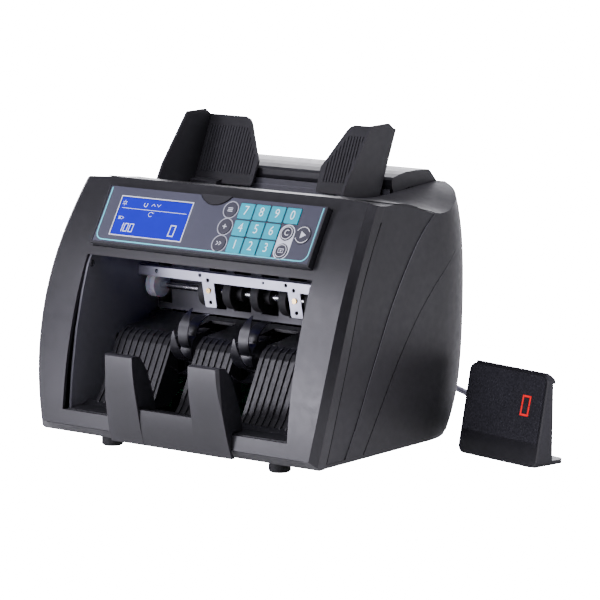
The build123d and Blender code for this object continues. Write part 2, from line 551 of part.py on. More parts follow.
rail = rod_x(-(FRAME_X + 0.6), FRAME_X + 0.6, RAIL_Y, RAIL_Z, RAIL_R)
out("guide_rail", rail)

# ------------------------------------------------------------ hopper guides
LEAN = radians(23.5)


def guide(sx):
    """Folded note guide: side plate, leaning ribbed back plate, slide block."""
    x_out, t = 96.7, 2.2
    side = bar_x([(90.5, 213.0), (96.8, 224.6), (128.7, 264.4), (130.4, 265.9), (153.8, 266.2), (161.0, 261.0),
                  (137.6, 207.2), (132.0, 204.0), (92.0, 206.0)], x_out - t, x_out)
    # back plate outline in its own leaning plane: x across, s up the plate
    y0, z0 = 137.0, 206.0
    sl, cl = sin(LEAN), cos(LEAN)
    pl = Plane(origin=(0, y0, z0), x_dir=(1, 0, 0), z_dir=(0, -cl, sl))
    outline = [(x_out, 0.0), (34.6, 1.2), (33.6, 3.0), (32.7, 23.0), (49.5, 55.5), (52.5, 59.0), (56.5, 60.6), (x_out, 60.6)]
    f = Face(Wire.make_polygon([Vector(x, s, 0) for x, s in outline], close=True))
    plate = pl.location * Solid.extrude(f, Vector(0, 0, -t))
    g = side + plate
    # fine upright ribs between the plain bands
    n = 0
    x = 38.5
    while x < x_out - t - 1.5:
        top = 51.0 if x > 52.5 else 51.0 - (52.5 - x) * 1.62
        if top > 16:
            rib = Pos(x, (10.5 + top) / 2, 0.35) * Box(1.1, top - 10.5, 0.9)
            g = g + pl.location * rib
        x += 2.9
        n += 1
    # foot reaching down to the slide rod
    foot = bar_x([(131.2, 208.5), (138.9, 210.0), (139.4, 200.0), (139.4, 194.0), (137.6, 186.0), (131.0, 185.2), (128.6, 185.9), (128.4, 194.0), (130.6, 200.0)], 66.0, 94.0)
    foot = foot - rod_x(60, 100, RAIL_Y, RAIL_Z, RAIL_R + 0.06)
    g = g + foot
    if sx < 0:
        g = mirror(g, Plane.YZ)
    return g


out("right_guide", guide(1))
out("left_guide", guide(-1))

# -------------------------------------------------------------- rear cover
cov_out = [(149.0, 220.8), (151.0, 222.8), (159.0, 224.6), (168.0, 225.8), (182.0, 226.0), (200.4, 225.0), (202.6, 223.6), (211.6, 214.6), (210.6, 213.8), (149.6, 213.4), (148.8, 216.0)]
cov_in = [(151.6, 220.7), (159.6, 222.4), (168.0, 223.5), (182.0, 223.7), (199.4, 222.7), (207.4, 214.6), (207.4, 205.0), (151.6, 205.0)]
cover = bar_x(cov_out, -102.9, 102.9)
ends = bar_x([(151.4, 209.4), (171.9, 212.9), (200.0, 213.4), (200.0, 216.0), (149.6, 216.0)], -102.9, 102.9)
cover = cover + ends
cover = cover - bar_x(cov_in, -100.7, 100.7)
cover = cover - block(-100.7, 100.7, 146.0, 152.6, 205, 213.4)
for kx in (-86.0, -30.0, 30.0, 86.0):
    kn = rod_x(kx - 5, kx + 5, HINGE_Y, HINGE_Z, 3.6)
    kn = kn + bar_x([(200.4, 209.3), (199.0, 222.2), (204.0, 216.5), (206.2, 209.3)], kx - 5, kx + 5)
    cover = cover + kn
    cover = cover - rod_x(kx - 6, kx + 6, HINGE_Y, HINGE_Z, HINGE_R + 0.05)
out("rear_cover", max(cover.solids(), key=lambda s: s.volume))
out("cover_hinge_rod", rod_x(-106.6, 106.6, HINGE_Y, HINGE_Z, HINGE_R))

# ------------------------------------------------------- control panel block
house = face_box(-113.0, 113.0, -1.0, 50.8, -14.0, -1.2)
rim = face_box(-113.0, 113.0, -1.0, 50.8, -1.3, 0.0) - face_box(-111.2, 111.2, 0.8, 60.0, -2.0, 1.0)
house = house + rim
house = house - face_box(-110.6, 110.6, 1.4, 48.4, -20.0, -3.2)
KEYS = {}
for (name, kx, ks) in (("7", 28.0, 33.3), ("8", 43.6, 33.3), ("9", 59.2, 33.3), ("0", 74.8, 33.3),
                       ("4", 28.0, 18.4), ("5", 43.6, 18.4), ("6", 59.2, 18.4),
                       ("1", 28.0, 3.7), ("2", 43.6, 3.7), ("3", 59.2, 3.7)):
    KEYS[name] = (kx, ks, 14.1, 13.4)
ROUND = {"mode": (19.0, 40.0, 6.3), "add": (19.0, 25.2, 6.3), "speed": (19.0, 10.4, 6.3),
         "clear": (81.8, 25.2, 5.9), "batch": (81.8, 9.8, 5.9), "start": (97.6, 25.0, 7.6)}
cutters = []
for (kx, ks, w, h) in KEYS.values():
    cutters.append(face_box(kx - KEY_GAP, kx + w + KEY_GAP, ks - KEY_GAP, ks + h + KEY_GAP, -5, 2))
for (cx, cs, r) in ROUND.values():
    cutters.append(face_disc(cx, cs, r + KEY_GAP, -5, 2))
lcd_cut = face_box(-95.4, -20.9, 8.4, 42.2, -5, 2)
for c in cutters:
    house = house - c
house = house - lcd_cut
# moulded tongue under the thumb scoop, standing through the overlay film
house = house + (face_disc(0.4, 62.5, 19.5, -1.4, 0.3) & face_box(-30, 30, 40.0, 51.1, -2, 1))
out("panel_housing", max(house.solids(), key=lambda s: s.volume))

overlay = face_box(-110.9, 110.9, 1.1, 50.5, -1.2, -0.5)
for c in cutters:
    overlay = overlay - c
overlay = overlay - lcd_cut - face_disc(0.4, 62.5, 20.3, -30, 10)
out("panel_overlay", max(overlay.solids(), key=lambda s: s.volume))

out("lcd_module", face_box(-95.0, -21.3, 8.8, 41.8, -3.6, -0.7) + face_box(-98.0, -18.3, 6.4, 44.2, -5.6, -3.6))
for name, (kx, ks, w, h) in KEYS.items():
    k = Pos(kx + w / 2, ks + h / 2, -1.7) * Box(w, h, 3.8)
    k = fillet(k.edges().filter_by(Axis.Z), 0.8)
    k = fillet(k.faces().sort_by(Axis.Z)[-1].edges(), 0.3)
    out("key_" + name, on_face(k))
for name, (cx, cs, r) in ROUND.items():
    k = Pos(cx, cs, -1.7) * Cylinder(r, 3.8)
    k = fillet(k.edges().filter_by(GeomType.CIRCLE).sort_by(Axis.Z)[-1:], 0.35)
    out("key_" + name, on_face(k))
board = face_box(-16.0, 108.0, 2.2, 47.6, -6.8, -5.2)
for (kx, ks, w, h) in KEYS.values():
    board = board + face_disc(kx + w / 2, ks + h / 2, 2.4, -5.3, -4.7)
for (cx, cs, r) in ROUND.values():
    board = board + face_disc(cx, cs, 2.4, -5.3, -4.7)
out("key_board", board)

# ------------------------------------------------------------- electronics
mb = block(-112, -24, 116, 196, 26.0, 27.6) + block(-90, -62, 136, 164, 27.5, 31.0) + block(-50, -30, 140, 170, 27.5, 36.0)
mb = mb + block(-108, -101, 128, 190, 27.5, 37.0) + block(-60, -52, 122, 130, 27.5, 40.0)
for bx in (-110, -32):
    for by in (118, 188):
        mb = mb + block(bx, bx + 6, by, by + 6, 13.8, 26.1)
out("main_board", mb)
ps = block(-14, 56, 120, 196, 30.0, 31.6) + rod_x(-6, 18, 146, 44.6, 13.2) + block(26, 48, 128, 150, 31.5, 52.0) + block(26, 46, 162, 186, 31.5, 56.0)
for bx in (-13, 49):
    for by in (121, 189):
        ps = ps + block(bx, bx + 6, by, by + 6, 13.8, 30.1)
out("power_supply", ps)

inlet = block(-63.7, -34.3, 212.0, 231.6, 32.3, 55.7)
inlet = inlet - prism_y([(-60.0, 36.0), (-38.0, 36.0), (-38.0, 48.6), (-41.4, 52.0), (-56.6, 52.0), (-60.0, 48.6)], 216.0, 240.0)
for px, pz in ((-54.0, 42.5), (-44.0, 42.5), (-49.0, 46.8)):
    inlet = inlet + block(px - 1.0, px + 1.0, 215.0, 227.0, pz - 2.0, pz + 2.0)
# holder behind the rocker, one piece with the inlet
inlet = inlet + block(-34.4, -9.4, 212.0, 214.0, 35.0, 52.5)
for hx0 in (-31.6, -12.0):
    inlet = inlet + block(hx0, hx0 + 2.6, 213.0, 225.7, 39.0, 48.5)
inlet = inlet - rod_x(-33.0, -8.0, 223.5, 43.75, 1.55)
out("mains_inlet", inlet)
tilt = radians(-8.0)
rk_pts = [(-4.0, -3.0), (-4.0, 3.0), (4.5, 9.4), (6.6, 9.2), (5.6, 0.0), (6.6, -9.2), (4.5, -9.4)]
rk = bar_x([(223.5 + a * cos(tilt) - b * sin(tilt), 43.75 + a * sin(tilt) + b * cos(tilt)) for a, b in rk_pts], -27.9, -13.1)
rk = rk + rod_x(-31.0, -10.0, 223.5, 43.75, 1.5)
out("power_rocker", rk)
socks = block(12.4, 65.6, 214.0, 231.0, 28.4, 51.6)
socks = socks - block(17.0, 31.0, 218.0, 240.0, 33.0, 46.0)
socks = socks - block(36.0, 41.0, 220.0, 240.0, 35.0, 45.0)
# the plug of the display lead, pushed home, with its boot
socks = socks + block(46.5, 60.5, 230.5, 237.0, 33.0, 45.0)
socks = socks + Pos(53.5, 240.5, 39.0) * Rot(-90, 0, 0) * Cone(5.0, 3.4, 7.6)
out("data_sockets", socks)

# ------------------------------------------------------- customer display
PSI = radians(-12.0)
DISP_X, DISP_Y = 155.4, 168.5      # front lower left corner on the table
DW = 89.5                          # width of the face plate
DLEAN = (14.6, 73.0)               # how far the face leans back over its height
disp_loc = Location((DISP_X, DISP_Y, 0), (0, 0, -12.0))


def disp(shape):
    return disp_loc * shape


d_ang = atan2(DLEAN[0], DLEAN[1])
face_pl = Plane(origin=(0, 0, 0.5), x_dir=(1, 0, 0), z_dir=(0, -cos(d_ang), sin(d_ang)))
D_FACE_H = hypot(*DLEAN)
plate = Pos(DW / 2, D_FACE_H / 2, -1.3) * Box(DW, D_FACE_H, 2.0)
plate = fillet(plate.edges().filter_by(Axis.Z), 7.0)
recess = Pos(DW / 2, D_FACE_H / 2 + 9.2, 0.0) * Box(DW - 3.0, D_FACE_H - 20.2, 1.0)
recess = fillet(recess.edges().filter_by(Axis.Z).sort_by(Axis.Y)[-2:], 6.0)
plate_w = face_pl.location * (plate - recess)
out("display_face", disp(plate_w))
out("display_window", disp(face_pl.location * (Pos(0, 0, -0.0) * (recess & Pos(DW / 2, D_FACE_H / 2, -0.28) * Box(DW - 3.6, D_FACE_H - 1.0, 0.4)))))


def behind(s_up, n_back):
    """Point (y, z) behind the face plate: s_up along it, n_back away from it."""
    return (s_up * sin(d_ang) + n_back * cos(d_ang), 0.5 + s_up * cos(d_ang) - n_back * sin(d_ang))


wedge = [behind(2.0, 2.45), behind(D_FACE_H - 1.5, 2.45), (17.3, 75.0), (19.4, 74.6), (22.4, 72.4), (24.4, 69.2), (24.8, 66.0), (22.2, 66.0), (21.6, 3.0), (6.0, 3.0)]
dh = bar_x(wedge, 1.6, DW - 1.6)
for x0, sg in ((1.6, 1), (DW - 1.6, -1)):
    dh = dh - prism_y([(x0 - sg * 2, 80.0), (x0 + sg * 5.0, 80.0), (x0 + sg * 2.4, 72.6), (x0, 69.4), (x0 - sg * 2, 69.0)], -5, 30)
dh = dh - bar_x([behind(8.0, 4.6), behind(D_FACE_H - 7.0, 4.6), (19.6, 64.0), (19.6, 5.6), (9.0, 5.6)], 4.0, DW - 4.0)
dh = dh - Pos(12.0, 21.0, 20.0) * Rot(90, 0, 0) * Cylinder(3.0, 6.0)
foot_plate = block(3.0, DW - 3.0, 3.3, 38.0, 0.0, 3.4)
foot_plate = fillet(foot_plate.edges().filter_by(Axis.Z).sort_by(Axis.Y)[-2:], 7.0)
dh = dh + foot_plate
out("display_housing", disp(dh))

# ------------------------------------------------------------- display cord
COIL_X, COIL_Y = 152.4, 240.7
RING_OUT, RING_IN = 29.2, 24.0     # centre lines of the outer and inner turns
ca, sa = cos(PSI), sin(PSI)


def world(x, y, z):
    return (DISP_X + x * ca - y * sa, DISP_Y + x * sa + y * ca, z)


ROUTE_A = [(53.5, 244.3, 39.0), (53.7, 256.3, 38.2), (57.8, 267.2, 35.4), (65.8, 275.7, 31.6), (76.4, 280.9, 27.4),
           (88.4, 282.2, 23.0), (101.6, 280.2, 18.4), (116.8, 275.9, 13.2), (132.6, 271.9, 7.4), (149.6, 270.0, 4.2)]
ROUTE_B = [(COIL_X + RING_OUT, 238.0, 13.2), (COIL_X + RING_OUT - 0.4, 223.0, 14.0), (178.6, 210.0, 16.2), (175.0, 198.5, 19.0), world(12.0, 19.6, 20.0)]


def cord_tube(route, label):
    v = [Vector(*p) for p in route]
    start, body_edges = v[0], []
    last = v[0]
    for i in range(1, len(v) - 1):
        a, b, c = v[i - 1], v[i], v[i + 1]
        u1, u2 = (b - a).normalized(), (c - b).normalized()
        turn = acos(max(-1.0, min(1.0, u1.dot(u2))))
        short = min((b - a).length, (c - b).length)
        t = 0.45 * short
        r = t / tan(turn / 2)
        print(label, "arc at", i, "turn %.1f deg radius %.1f run %.1f" % (degrees(turn), r, (b - a).length))
        p1, p2 = b - u1 * t, b + u2 * t
        mid_dir = ((p1 + p2) * 0.5 - b).normalized()
        centre = b + mid_dir * (r / cos(turn / 2))
        pm = centre - mid_dir * r
        body_edges.append(Edge.make_line(last, p1))
        body_edges.append(Edge.make_three_point_arc(p1, pm, p2))
        last = p2
    body_edges.append(Edge.make_line(last, v[-1]))
    path = Wire(body_edges)
    u = (v[1] - v[0]).normalized()
    section = Face(Wire(Edge.make_circle(CORD_R, Plane(origin=v[0], z_dir=u))))
    tube = Solid.sweep(section, path)
    print(label, "length %.1f volume ratio %.4f" % (path.length, tube.volume / (path.length * pi * CORD_R ** 2)))
    return tube


out("cord_to_coil", cord_tube(ROUTE_A, "A"))
out("cord_to_display", cord_tube(ROUTE_B, "B"))
coil = Pos(COIL_X, COIL_Y, 7.8) * (Cylinder(RING_OUT + CORD_R, 15.6) - Cylinder(RING_IN - CORD_R, 17.0))
out("cord_coil", coil)
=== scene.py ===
import bpy, bmesh, math, random
from mathutils import Vector, Matrix
from mathutils.bvhtree import BVHTree


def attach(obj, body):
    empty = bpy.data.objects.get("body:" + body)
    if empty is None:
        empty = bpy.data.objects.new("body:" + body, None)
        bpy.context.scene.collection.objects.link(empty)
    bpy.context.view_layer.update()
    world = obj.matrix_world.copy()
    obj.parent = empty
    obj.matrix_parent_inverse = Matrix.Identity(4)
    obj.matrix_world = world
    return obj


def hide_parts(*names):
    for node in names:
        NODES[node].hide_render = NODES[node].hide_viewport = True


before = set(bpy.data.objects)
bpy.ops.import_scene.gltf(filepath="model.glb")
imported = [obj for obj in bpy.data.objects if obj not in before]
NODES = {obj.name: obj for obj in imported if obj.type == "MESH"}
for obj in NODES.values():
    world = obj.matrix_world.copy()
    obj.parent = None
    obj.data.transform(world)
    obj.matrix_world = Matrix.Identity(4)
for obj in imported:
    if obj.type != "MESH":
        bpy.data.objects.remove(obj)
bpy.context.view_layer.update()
random.seed(7)
MM = 0.001
SX, SY = 48.0, 111.0          # the frame's origin in the machine's own numbers


def W(x, y, z):
    """Point in the machine's own millimetres to the row frame in metres."""
    return Vector(((x - SX) * MM, (y - SY) * MM, z * MM))


# ------------------------------------------------------------------- camera
cam_data = bpy.data.cameras.new("camera")
cam = bpy.data.objects.new("camera", cam_data)
bpy.context.scene.collection.objects.link(cam)
cam_data.sensor_width = 36.0
cam_data.lens = 36.0 * 3376.11 / 600.0
cam_data.clip_start, cam_data.clip_end = 0.05, 60.0
cam.location = W(1698.23, -2044.49, 558.95)
cam.rotation_euler = (math.radians(90.0 - 9.14), 0.0, math.radians(37.60))
bpy.context.scene.camera = cam


# ---------------------------------------------------------------- materials
def new_mat(name):
    m = bpy.data.materials.new(name)
    m.use_nodes = True
    nt = m.node_tree
    b = nt.nodes["Principled BSDF"]
    return m, nt, b


def coords(nt, scale=1.0):
    tc = nt.nodes.new("ShaderNodeTexCoord")
    mp = nt.nodes.new("ShaderNodeMapping")
    mp.inputs["Scale"].default_value = (scale, scale, scale) if not isinstance(scale, tuple) else scale
    nt.links.new(tc.outputs["Object"], mp.inputs["Vector"])
    return mp.outputs["Vector"]


def noise(nt, vec, scale, detail=4.0, rough=0.5):
    n = nt.nodes.new("ShaderNodeTexNoise")
    n.inputs["Scale"].default_value = scale
    n.inputs["Detail"].default_value = detail
    n.inputs["Roughness"].default_value = rough
    nt.links.new(vec, n.inputs["Vector"])
    return n.outputs["Fac"]


def ramp(nt, fac, stops):
    r = nt.nodes.new("ShaderNodeValToRGB")
    while len(r.color_ramp.elements) < len(stops):
        r.color_ramp.elements.new(0.5)
    for e, (p, c) in zip(r.color_ramp.elements, stops):
        e.position = p
        e.color = (*c, 1.0) if len(c) == 3 else c
    nt.links.new(fac, r.inputs["Fac"])
    return r.outputs["Color"]


def maprange(nt, fac, a, b, lo=0.0, hi=1.0):
    m = nt.nodes.new("ShaderNodeMapRange")
    m.inputs["From Min"].default_value = lo
    m.inputs["From Max"].default_value = hi
    m.inputs["To Min"].default_value = a
    m.inputs["To Max"].default_value = b
    nt.links.new(fac, m.inputs["Value"])
    return m.outputs["Result"]


def bump(nt, b, height, strength, dist, chain=None):
    n = nt.nodes.new("ShaderNodeBump")
    n.inputs["Strength"].default_value = strength
    n.inputs["Distance"].default_value = dist
    nt.links.new(height, n.inputs["Height"])
    if chain is not None:
        nt.links.new(chain, n.inputs["Normal"])
    nt.links.new(n.outputs["Normal"], b.inputs["Normal"])
    return n.outputs["Normal"]


def plastic(name, col, col2, r0, r1, grain=2600.0, g_str=0.12, spec=0.5, coat=0.0, edge_sheen=0.06, bevel=0.0):
    """Moulded plastic: slow tone drift, fine spark-eroded grain, painted edge highlight."""
    m, nt, b = new_mat(name)
    v = coords(nt)
    slow = noise(nt, v, 9.0, 3.0)
    fine = noise(nt, v, grain, 2.0, 0.6)
    mid = noise(nt, v, 160.0, 3.0)
    base = ramp(nt, slow, [(0.3, col), (0.72, col2)])
    mixn = nt.nodes.new("ShaderNodeMix")
    mixn.data_type = "RGBA"
    mixn.blend_type = "MULTIPLY"
    mixn.inputs["Factor"].default_value = 0.55
    nt.links.new(base, mixn.inputs[6])
    speck = ramp(nt, fine, [(0.35, (0.80, 0.80, 0.81)), (0.65, (1.0, 1.0, 1.0))])
    nt.links.new(speck, mixn.inputs[7])
    colour = mixn.outputs[2]
    # painted highlight: pointy edges are lightened in the base colour
    if edge_sheen > 0:
        geo = nt.nodes.new("ShaderNodeNewGeometry")
        edge = maprange(nt, geo.outputs["Pointiness"], 0.0, 1.0, 0.515, 0.60)
        sheen_mix = nt.nodes.new("ShaderNodeMix")
        sheen_mix.data_type = "RGBA"
        mul = nt.nodes.new("ShaderNodeMath")
        mul.operation = "MULTIPLY"
        mul.inputs[1].default_value = edge_sheen * 6
        nt.links.new(edge, mul.inputs[0])
        nt.links.new(mul.outputs[0], sheen_mix.inputs["Factor"])
        nt.links.new(colour, sheen_mix.inputs[6])
        sheen_mix.inputs[7].default_value = (min(1, col2[0] * 2.4), min(1, col2[1] * 2.4), min(1, col2[2] * 2.4), 1)
        colour = sheen_mix.outputs[2]
    nt.links.new(colour, b.inputs["Base Color"])
    nt.links.new(maprange(nt, mid, r0, r1, 0.3, 0.7), b.inputs["Roughness"])
    b.inputs["Specular IOR Level"].default_value = spec
    b.inputs["Coat Weight"].default_value = coat
    b.inputs["Coat Roughness"].default_value = 0.22
    n1 = bump(nt, b, fine, g_str, 0.00006)
    bump(nt, b, mid, 0.05, 0.0002, n1)
    return m


CASE = plastic("case_plastic", (0.0078, 0.0076, 0.0092), (0.0102, 0.0099, 0.0120), 0.37, 0.44, spec=0.50)
SHELL = plastic("shell_plastic", (0.0085, 0.0083, 0.0100), (0.0110, 0.0107, 0.0130), 0.50, 0.57, spec=0.50)
# painted shade: near black for strips and sheets put where there is only shade
SHADE_BLACK = plastic("painted_shade_black", (0.0022, 0.0022, 0.0024), (0.0034, 0.0034, 0.0037), 0.75, 0.88, spec=0.12, edge_sheen=0.0)
# painted highlight: light grey for the strips along the rear shell's edge on the flanks
EDGE_HIGHLIGHT = plastic("painted_edge_highlight", (0.085, 0.083, 0.095), (0.110, 0.108, 0.122), 0.38, 0.46, spec=0.5, edge_sheen=0.0)
CASE_DARK = plastic("case_dark", (0.008, 0.008, 0.0095), (0.012, 0.012, 0.014), 0.40, 0.5, spec=0.4)
GUIDE = plastic("guide_plastic", (0.0125, 0.0122, 0.0140), (0.0170, 0.0168, 0.0190), 0.38, 0.48, spec=0.38)
INNER = plastic("inner_plastic", (0.060, 0.060, 0.069), (0.073, 0.073, 0.083), 0.36, 0.48, spec=0.45)
TRAY = plastic("tray_plastic", (0.0080, 0.0080, 0.0092), (0.012, 0.012, 0.0136), 0.34, 0.42, spec=0.36)
WHEEL = plastic("wheel_plastic", (0.0075, 0.0075, 0.0095), (0.012, 0.012, 0.0155), 0.30, 0.40, spec=0.42)
FILM = plastic("overlay_film", (0.050, 0.052, 0.073), (0.061, 0.063, 0.088), 0.34, 0.42, grain=5200.0, g_str=0.05, edge_sheen=0.0, spec=0.4)
KEY = plastic("key_cyan", (0.008, 0.335, 0.430), (0.012, 0.385, 0.485), 0.36, 0.44, grain=4000.0, g_str=0.05, edge_sheen=0.0, spec=0.35)
KEYG = plastic("key_grey", (0.038, 0.038, 0.050), (0.050, 0.050, 0.066), 0.34, 0.42, grain=4000.0, g_str=0.05, edge_sheen=0.0, spec=0.4)
SOCK = plastic("socket_black", (0.007, 0.007, 0.008), (0.012, 0.012, 0.013), 0.4, 0.5)
DISP = plastic("display_black", (0.0180, 0.0177, 0.0210), (0.0220, 0.0217, 0.0255), 0.42, 0.50, spec=0.25)
DFACE = plastic("display_face", (0.0190, 0.0187, 0.0220), (0.0215, 0.0212, 0.0250), 0.34, 0.40, grain=5200.0, g_str=0.02, edge_sheen=0.0, spec=0.4)
RUBBER = plastic("roller_rubber", (0.008, 0.008, 0.009), (0.014, 0.014, 0.015), 0.55, 0.7, grain=1500.0, g_str=0.3, spec=0.3)
FOOT = plastic("foot_rubber", (0.008, 0.008, 0.009), (0.014, 0.014, 0.015), 0.6, 0.75, grain=1300.0, g_str=0.3, spec=0.3)
CORD = plastic("cord_jacket", (0.27, 0.265, 0.33), (0.33, 0.325, 0.39), 0.36, 0.46, grain=2200.0, g_str=0.08, edge_sheen=0.0)


def glossy_black(name, col, rough):
    m, nt, b = new_mat(name)
    v = coords(nt)
    n = noise(nt, v, 40.0, 3.0)
    nt.links.new(ramp(nt, n, [(0.3, col), (0.7, tuple(c * 1.25 for c in col))]), b.inputs["Base Color"])
    nt.links.new(maprange(nt, noise(nt, v, 300.0), rough * 0.8, rough * 1.25, 0.3, 0.7), b.inputs["Roughness"])
    b.inputs["Specular IOR Level"].default_value = 0.5
    b.inputs["Coat Weight"].default_value = 0.3
    b.inputs["Coat Roughness"].default_value = 0.12
    return m


WINDOW = glossy_black("window_black", (0.0340, 0.0335, 0.0395), 0.24)


def metal(name, col, col2, r0, r1, stretch, scale, b_str=0.12, metallic=1.0):
    """Metal with drawn brush lines along one axis."""
    m, nt, b = new_mat(name)
    v = coords(nt, stretch)
    lines = noise(nt, v, scale, 5.0, 0.65)
    v2 = coords(nt)
    spots = noise(nt, v2, 60.0, 4.0)
    nt.links.new(ramp(nt, lines, [(0.25, col), (0.75, col2)]), b.inputs["Base Color"])
    b.inputs["Metallic"].default_value = metallic
    add = nt.nodes.new("ShaderNodeMath")
    add.operation = "ADD"
    nt.links.new(maprange(nt, lines, r0, r1, 0.25, 0.75), add.inputs[0])
    nt.links.new(maprange(nt, spots, -0.04, 0.05, 0.3, 0.7), add.inputs[1])
    nt.links.new(add.outputs[0], b.inputs["Roughness"])
    bump(nt, b, lines, b_str, 0.00005)
    return m


PLATE = metal("brushed_plate", (0.34, 0.345, 0.40), (0.46, 0.465, 0.53), 0.40, 0.55, (1.0, 60.0, 60.0), 60.0)
STEEL = metal("bright_steel", (0.62, 0.62, 0.64), (0.80, 0.80, 0.82), 0.16, 0.26, (60.0, 1.0, 1.0), 30.0, 0.06)
ZINC = metal("zinc_steel", (0.30, 0.31, 0.32), (0.46, 0.47, 0.49), 0.38, 0.52, (6.0, 6.0, 6.0), 30.0, 0.1)
BRASS = metal("brass_screw", (0.55, 0.38, 0.14), (0.78, 0.58, 0.26), 0.20, 0.32, (20.0, 20.0, 20.0), 60.0, 0.08)


def board_mat():
    m, nt, b = new_mat("board_green")
    v = coords(nt)
    vo = nt.nodes.new("ShaderNodeTexVoronoi")
    vo.feature = "DISTANCE_TO_EDGE"
    vo.inputs["Scale"].default_value = 260.0
    nt.links.new(v, vo.inputs["Vector"])
    nt.links.new(ramp(nt, vo.outputs["Distance"], [(0.04, (0.02, 0.17, 0.07)), (0.10, (0.010, 0.085, 0.035))]), b.inputs["Base Color"])
    nt.links.new(maprange(nt, noise(nt, v, 400.0), 0.3, 0.5), b.inputs["Roughness"])
    return m


BOARD = board_mat()


def white_roller():
    m, nt, b = new_mat("white_plastic")
    v = coords(nt)
    n = noise(nt, v, 90.0)
    nt.links.new(ramp(nt, n, [(0.3, (0.62, 0.63, 0.70)), (0.7, (0.78, 0.79, 0.85))]), b.inputs["Base Color"])
    nt.links.new(maprange(nt, n, 0.25, 0.4), b.inputs["Roughness"])
    b.inputs["Subsurface Weight"].default_value = 0.25
    b.inputs["Subsurface Scale"].default_value = 0.003
    return m


WHITE_ROLL = white_roller()


def glow(name, col, strength, base=None, cell=0.0):
    m, nt, b = new_mat(name)
    v = coords(nt)
    n = noise(nt, v, 55.0, 2.0)
    lo = tuple(c * 0.90 for c in col)
    c = ramp(nt, n, [(0.3, lo), (0.7, col)])
    nt.links.new(c, b.inputs["Emission Color"])
    b.inputs["Emission Strength"].default_value = strength
    bc = base or tuple(c * 0.5 for c in col)
    nt.links.new(ramp(nt, n, [(0.3, bc), (0.7, tuple(x * 1.1 for x in bc))]), b.inputs["Base Color"])
    nt.links.new(maprange(nt, noise(nt, v, 300.0), 0.12, 0.2), b.inputs["Roughness"])
    return m


LCD = glow("lcd_blue", (0.012, 0.006, 1.00), 0.80, (0.002, 0.006, 0.06))
LCD_TXT = glow("lcd_white", (0.62, 0.72, 1.0), 1.1, (0.3, 0.3, 0.35))
LED_RED = glow("led_red", (1.0, 0.006, 0.010), 1.3, (0.2, 0.002, 0.002))


def ink(name, col, rough=0.45):
    m, nt, b = new_mat(name)
    v = coords(nt)
    n = noise(nt, v, 700.0, 2.0)
    nt.links.new(ramp(nt, n, [(0.3, tuple(c * 0.92 for c in col)), (0.7, col)]), b.inputs["Base Color"])
    nt.links.new(maprange(nt, n, rough - 0.05, rough + 0.05), b.inputs["Roughness"])
    return m


INK_WHITE = ink("ink_white", (0.80, 0.82, 0.85))
INK_KEY = ink("ink_key", (0.72, 0.90, 0.93))
INK_CYAN = ink("ink_cyan", (0.09, 0.60, 0.70))
INK_GREY = ink("ink_grey", (0.36, 0.37, 0.42))
INK_FRAME = ink("ink_frame", (0.62, 0.64, 0.70))
INK_DARK = ink("ink_dark", (0.03, 0.03, 0.04))

PAINT = {
    "base_pan": CASE_DARK, "feet": FOOT, "front_bezel": CASE, "left_side_panel": SHELL, "right_side_panel": SHELL, "rear_shell": SHELL,
    # painted shade: the steel cover_hinge_rod takes the dark case plastic, as it sits in the dark gap under the cover
    "cover_hinge_rod": CASE_DARK, "panel_housing": CASE_DARK, "panel_overlay": FILM, "lcd_module": LCD, "key_board": BOARD,
    "guide_rail": STEEL, "hopper_tray": INNER, "left_frame": ZINC, "right_frame": ZINC, "pocket_lining": INNER, "stacker_tray": TRAY,
    "bill_stop": CASE, "sensor_bracket": PLATE, "bracket_screws": BRASS, "drive_motor": ZINC, "drive_belts": RUBBER, "main_board": BOARD,
    "power_supply": BOARD, "mains_inlet": SOCK, "data_sockets": SOCK, "display_housing": DISP, "display_face": DFACE, "display_window": WINDOW,
    "cord_to_coil": CORD, "cord_to_display": CORD, "cord_coil": CORD, "rear_cover": CASE, "left_guide": GUIDE, "right_guide": GUIDE,
    "feed_shaft": STEEL, "feed_rollers": RUBBER, "guide_roller": WHITE_ROLL, "stacker_shaft": STEEL, "stacker_wheels": WHEEL,
    "pick_shaft": STEEL, "pick_rollers": RUBBER, "motor_spindle": STEEL, "power_rocker": SOCK,
}
for name, ob in NODES.items():
    m = PAINT.get(name)
    if m is None:
        m = KEY if name[4:].isdigit() else KEYG
    if not ob.material_slots:
        ob.data.materials.append(m)
    for sl in ob.material_slots:
        sl.material = m

# soft edge bevels on the moulded pieces
for name, w in (("bill_stop", 0.7), ("left_guide", 0.35), ("right_guide", 0.35), ("rear_cover", 0.5), ("panel_housing", 0.3),
                ("display_housing", 0.4), ("display_face", 0.25), ("sensor_bracket", 0.15), ("front_bezel", 0.5), ("rear_shell", 0.35)):
    ob = NODES[name]
    md = ob.modifiers.new("edge", "BEVEL")
    md.width = w * MM
    md.segments = 2
    md.limit_method = "ANGLE"
    md.angle_limit = math.radians(38)
    md.harden_normals = False
    md.use_clamp_overlap = True


# ----------------------------------------------------------- piece helpers
def link(ob, body, mat):
    bpy.context.scene.collection.objects.link(ob)
    ob.data.materials.append(mat)
    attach(ob, body)
    return ob


# control panel axes: x to the right, s up the panel, n out of it
PU = Vector((0, 0.5107, 0.8598))
PN = Vector((0, -0.8598, 0.5107))


def panel_point(x, s, n):
    p = W(0, 24.5, 166.7) + Vector((1, 0, 0)) * (x * MM) + PU * (s * MM) + PN * (n * MM)
    return p


PANEL_M = Matrix(((1, 0, 0), (0, PU.y, PU.z), (0, PN.y, PN.z))).transposed().to_4x4()


